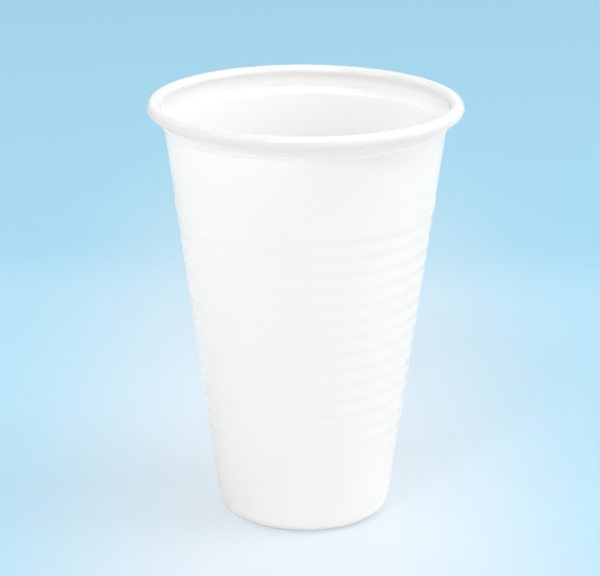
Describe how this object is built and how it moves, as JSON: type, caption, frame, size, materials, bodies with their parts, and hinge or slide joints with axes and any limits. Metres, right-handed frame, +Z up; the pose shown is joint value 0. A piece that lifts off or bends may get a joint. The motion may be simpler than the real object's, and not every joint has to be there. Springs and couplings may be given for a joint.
{
  "type": "disposable plastic cup",
  "caption": "White disposable drinking cup with a rolled rim, a stacking ledge inside the mouth, a tapered wall ribbed round the outside and a raised floor",
  "frame": {"origin": "centre of the foot, on the surface that the cup stands on", "axes": "+Z is up, along the cup's own axis; the cup is the same all round, so X and Y are free"},
  "size_m": [0.0702, 0.0702, 0.0963],
  "materials": {
    "cup_plastic": "smooth formed polypropylene sheet, soft gloss, milky white"
  },
  "bodies": {
    "root": {"cup": "cup_plastic"}
  },
  "joints": []
}
